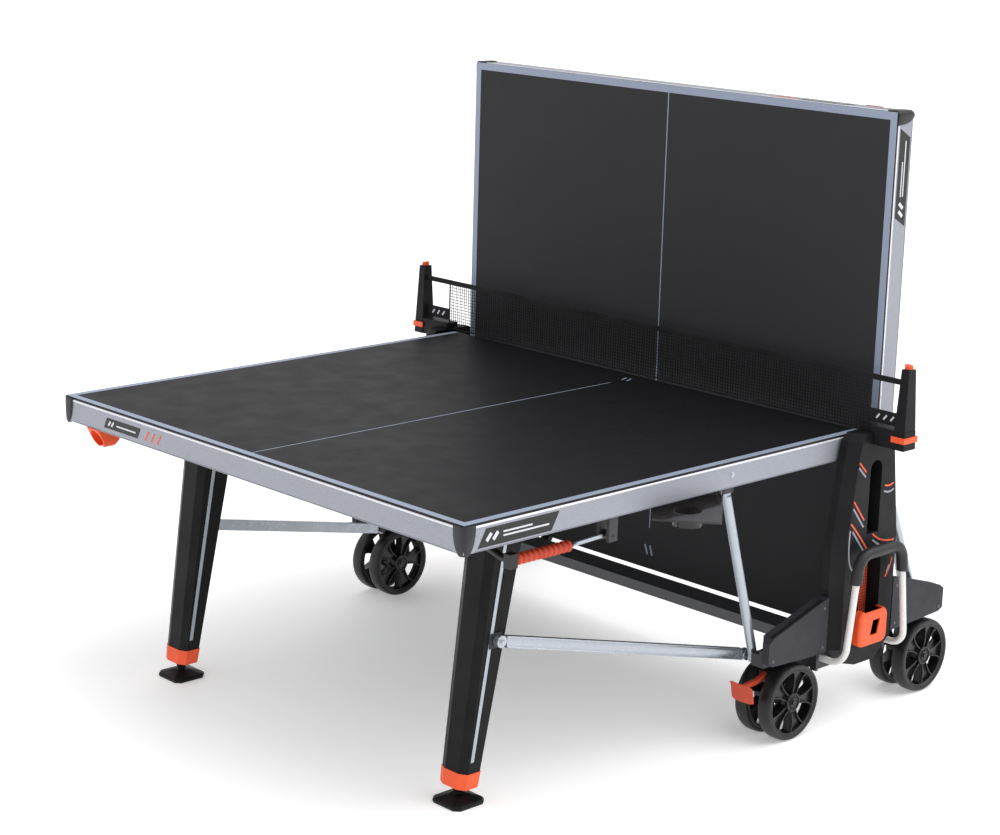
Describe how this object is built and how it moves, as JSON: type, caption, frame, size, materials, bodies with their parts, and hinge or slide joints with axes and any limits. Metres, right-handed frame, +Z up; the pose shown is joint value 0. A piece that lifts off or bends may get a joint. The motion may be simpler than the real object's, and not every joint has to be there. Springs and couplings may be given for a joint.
{
  "type": "folding table tennis table",
  "caption": "Folding outdoor table-tennis table on a wheeled base, one half level and the other upright, with net, bat pockets, bottle holders and cup trays.",
  "frame": {"origin": "middle of the footprint on the floor, with one half in playing position and the other folded up", "axes": "+X from the level half to the upright half, +Y along the net, +Z up"},
  "size_m": [1.767, 1.836, 1.564],
  "materials": {
    "laminate": "fine satin, dark grey weatherproof laminate with printed pale lines",
    "silver_rail": "speckled metallic grey paint",
    "frame_steel": "black powder coat",
    "cover_black": "fine-textured black plastic",
    "black_rubber": "soft black rubber",
    "accent_orange": "satin orange plastic",
    "handle_tube": "smooth silver-white paint",
    "leg_shell": "fine-textured black plastic over steel",
    "silver_strip": "brushed",
    "link_silver": "metallic grey paint",
    "smoked_plastic": "smoked clear plastic",
    "wheel_black": "black rubber tread on black plastic ribs",
    "net_cloth": "open knotted mesh with a black top tape"
  },
  "bodies": {
    "base": {"crossbeam": "frame_steel", "side_frame_near": "frame_steel", "side_frame_far": "frame_steel", "tower_columns": "frame_steel", "tower_cover_near": "cover_black", "tower_cover_far": "cover_black", "bat_pockets_near": "cover_black", "bat_pockets_far": "cover_black", "bottle_holders": "accent_orange", "transport_handles": "handle_tube", "handle_grips": "black_rubber", "net_posts": "cover_black", "post_rings": "accent_orange", "net": "net_cloth"},
    "guide_a": {"guide_rollers_a": "black_rubber"},
    "half_a": {"board_a": "laminate", "side_rails_a": "silver_rail", "end_rail_a": "silver_rail", "under_frame_a": "frame_steel", "corner_caps_a": "cover_black", "ball_holder_a": "accent_orange"},
    "leg_set_a": {"legs_a": "leg_shell", "leg_strips_a": "silver_strip", "leg_bands_a": "accent_orange"},
    "strut_set_a": {"struts_a": "link_silver"},
    "link_set_a": {"links_a": "link_silver"},
    "tray_a": {"cup_tray_a": "smoked_plastic"},
    "lever_a": {"release_lever_a": "cover_black", "release_grip_a": "accent_orange"},
    "foot_a_near": {"foot_a_near": "cover_black"},
    "foot_a_far": {"foot_a_far": "cover_black"},
    "guide_b": {"guide_rollers_b": "black_rubber"},
    "half_b": {"board_b": "laminate", "side_rails_b": "silver_rail", "end_rail_b": "silver_rail", "under_frame_b": "frame_steel", "corner_caps_b": "cover_black", "ball_holder_b": "accent_orange"},
    "leg_set_b": {"legs_b": "leg_shell", "leg_strips_b": "silver_strip", "leg_bands_b": "accent_orange"},
    "strut_set_b": {"struts_b": "link_silver"},
    "link_set_b": {"links_b": "link_silver"},
    "tray_b": {"cup_tray_b": "smoked_plastic"},
    "lever_b": {"release_lever_b": "cover_black", "release_grip_b": "accent_orange"},
    "foot_b_near": {"foot_b_near": "cover_black"},
    "foot_b_far": {"foot_b_far": "cover_black"},
    "caster_near_left": {"caster_fork_near_left": "cover_black"},
    "wheels_near_left": {"caster_wheels_near_left": "wheel_black"},
    "caster_near_right": {"caster_fork_near_right": "cover_black"},
    "wheels_near_right": {"caster_wheels_near_right": "wheel_black"},
    "caster_far_left": {"caster_fork_far_left": "cover_black"},
    "wheels_far_left": {"caster_wheels_far_left": "wheel_black"},
    "caster_far_right": {"caster_fork_far_right": "cover_black"},
    "wheels_far_right": {"caster_wheels_far_right": "wheel_black"},
    "brake_near_left": {"brake_pedal_near_left": "accent_orange"},
    "brake_far_right": {"brake_pedal_far_right": "accent_orange"},
    "knob_near": {"net_knob_near": "accent_orange"},
    "knob_far": {"net_knob_far": "accent_orange"}
  },
  "joints": [
    {"name": "guide_slide_a", "type": "slide", "parent": "base", "child": "guide_a", "axis": [-0.1315, 0, -0.9913], "range_m": [0, 0.49439]},
    {"name": "fold_a", "type": "hinge", "parent": "guide_a", "child": "half_a", "pos_m": [0.4505, 0, 0.72], "axis": [0, 1, 0], "range_deg": [0, 90]},
    {"name": "leg_fold_a", "type": "hinge", "parent": "half_a", "child": "leg_set_a", "pos_m": [-0.5675, 0, 0.655], "axis": [0, 1, 0], "range_deg": [-99.21, 0]},
    {"name": "strut_swing_a", "type": "hinge", "parent": "base", "child": "strut_set_a", "pos_m": [0.1555, 0, 0.22], "axis": [0, 1, 0], "range_deg": [0, 41.06]},
    {"name": "link_swing_a", "type": "hinge", "parent": "base", "child": "link_set_a", "pos_m": [0.1555, 0, 0.22], "axis": [0, 1, 0], "range_deg": [0, 89.05]},
    {"name": "tray_swing_a", "type": "hinge", "parent": "half_a", "child": "tray_a", "pos_m": [-0.0355, -0.75, 0.685], "axis": [0, 0, 1], "range_deg": [-40.5, 0]},
    {"name": "release_lever_turn_a", "type": "hinge", "parent": "half_a", "child": "lever_a", "pos_m": [-0.3995, -0.73, 0.645], "axis": [0, 1, 0], "range_deg": [0, 12]},
    {"name": "foot_turn_a_near", "type": "hinge", "parent": "leg_set_a", "child": "foot_a_near", "pos_m": [-0.6745, -0.546, 0.05], "axis": [0, 0, 1], "continuous": true},
    {"name": "foot_turn_a_far", "type": "hinge", "parent": "leg_set_a", "child": "foot_a_far", "pos_m": [-0.6745, 0.546, 0.05], "axis": [0, 0, 1], "continuous": true},
    {"name": "guide_slide_b", "type": "slide", "parent": "base", "child": "guide_b", "axis": [-0.1315, 0, 0.9913], "range_m": [0, 0.49439]},
    {"name": "lower_b", "type": "hinge", "parent": "guide_b", "child": "half_b", "pos_m": [0.5955, 0, 0.23], "axis": [0, 1, 0], "range_deg": [0, 90]},
    {"name": "leg_fold_b", "type": "hinge", "parent": "half_b", "child": "leg_set_b", "pos_m": [0.6605, 0, 1.248], "axis": [0, 1, 0], "range_deg": [-99.21, 0]},
    {"name": "strut_swing_b", "type": "hinge", "parent": "base", "child": "strut_set_b", "pos_m": [0.8255, 0, 0.22], "axis": [0, 1, 0], "range_deg": [0, 41.06]},
    {"name": "link_swing_b", "type": "hinge", "parent": "base", "child": "link_set_b", "pos_m": [0.8255, 0, 0.22], "axis": [0, 1, 0], "range_deg": [0, 89.05]},
    {"name": "tray_swing_b", "type": "hinge", "parent": "half_b", "child": "tray_b", "pos_m": [0.6305, 0.75, 0.716], "axis": [-1, 0, 0], "range_deg": [0, 40.5]},
    {"name": "release_lever_turn_b", "type": "hinge", "parent": "half_b", "child": "lever_b", "pos_m": [0.6705, 0.73, 1.08], "axis": [0, -1, 0], "range_deg": [0, 12]},
    {"name": "foot_turn_b_near", "type": "hinge", "parent": "leg_set_b", "child": "foot_b_near", "pos_m": [0.6694, 0.546, 0.63368], "axis": [0.1599, 0, 0.9871], "continuous": true},
    {"name": "foot_turn_b_far", "type": "hinge", "parent": "leg_set_b", "child": "foot_b_far", "pos_m": [0.6694, -0.546, 0.63368], "axis": [0.1599, 0, 0.9871], "continuous": true},
    {"name": "caster_swivel_near_left", "type": "hinge", "parent": "base", "child": "caster_near_left", "pos_m": [0.2155, -0.748, 0.215], "axis": [0, 0, 1], "continuous": true},
    {"name": "wheel_spin_near_left", "type": "hinge", "parent": "caster_near_left", "child": "wheels_near_left", "pos_m": [0.2335, -0.748, 0.1], "axis": [0, 1, 0], "continuous": true},
    {"name": "caster_swivel_near_right", "type": "hinge", "parent": "base", "child": "caster_near_right", "pos_m": [0.7655, -0.748, 0.215], "axis": [0, 0, 1], "continuous": true},
    {"name": "wheel_spin_near_right", "type": "hinge", "parent": "caster_near_right", "child": "wheels_near_right", "pos_m": [0.7835, -0.748, 0.1], "axis": [0, 1, 0], "continuous": true},
    {"name": "caster_swivel_far_left", "type": "hinge", "parent": "base", "child": "caster_far_left", "pos_m": [0.2155, 0.748, 0.215], "axis": [0, 0, 1], "continuous": true},
    {"name": "wheel_spin_far_left", "type": "hinge", "parent": "caster_far_left", "child": "wheels_far_left", "pos_m": [0.2335, 0.748, 0.1], "axis": [0, 1, 0], "continuous": true},
    {"name": "caster_swivel_far_right", "type": "hinge", "parent": "base", "child": "caster_far_right", "pos_m": [0.7655, 0.748, 0.215], "axis": [0, 0, 1], "continuous": true},
    {"name": "wheel_spin_far_right", "type": "hinge", "parent": "caster_far_right", "child": "wheels_far_right", "pos_m": [0.7835, 0.748, 0.1], "axis": [0, 1, 0], "continuous": true},
    {"name": "brake_lift_near_left", "type": "hinge", "parent": "caster_near_left", "child": "brake_near_left", "pos_m": [0.1825, -0.748, 0.172], "axis": [0, 1, 0], "range_deg": [0, 18]},
    {"name": "brake_lift_far_right", "type": "hinge", "parent": "caster_far_right", "child": "brake_far_right", "pos_m": [0.7325, 0.748, 0.172], "axis": [0, 1, 0], "range_deg": [0, 18]},
    {"name": "net_knob_turn_near", "type": "hinge", "parent": "base", "child": "knob_near", "pos_m": [0.4905, -0.8975, 0.948], "axis": [0, 0, 1], "continuous": true},
    {"name": "net_knob_turn_far", "type": "hinge", "parent": "base", "child": "knob_far", "pos_m": [0.4905, 0.8975, 0.948], "axis": [0, 0, 1], "continuous": true}
  ],
  "couplings": [
    {"joint": "guide_slide_a", "follows": "fold_a", "m_per_rad": 0.31468},
    {"joint": "leg_fold_a", "follows": "fold_a", "ratio": -1.1022},
    {"joint": "strut_swing_a", "follows": "fold_a", "ratio": 0.45609},
    {"joint": "link_swing_a", "follows": "fold_a", "ratio": 0.9893},
    {"joint": "guide_slide_b", "follows": "lower_b", "m_per_rad": 0.31468},
    {"joint": "leg_fold_b", "follows": "lower_b", "ratio": -1.1022},
    {"joint": "strut_swing_b", "follows": "lower_b", "ratio": 0.45609},
    {"joint": "link_swing_b", "follows": "lower_b", "ratio": 0.9893}
  ]
}
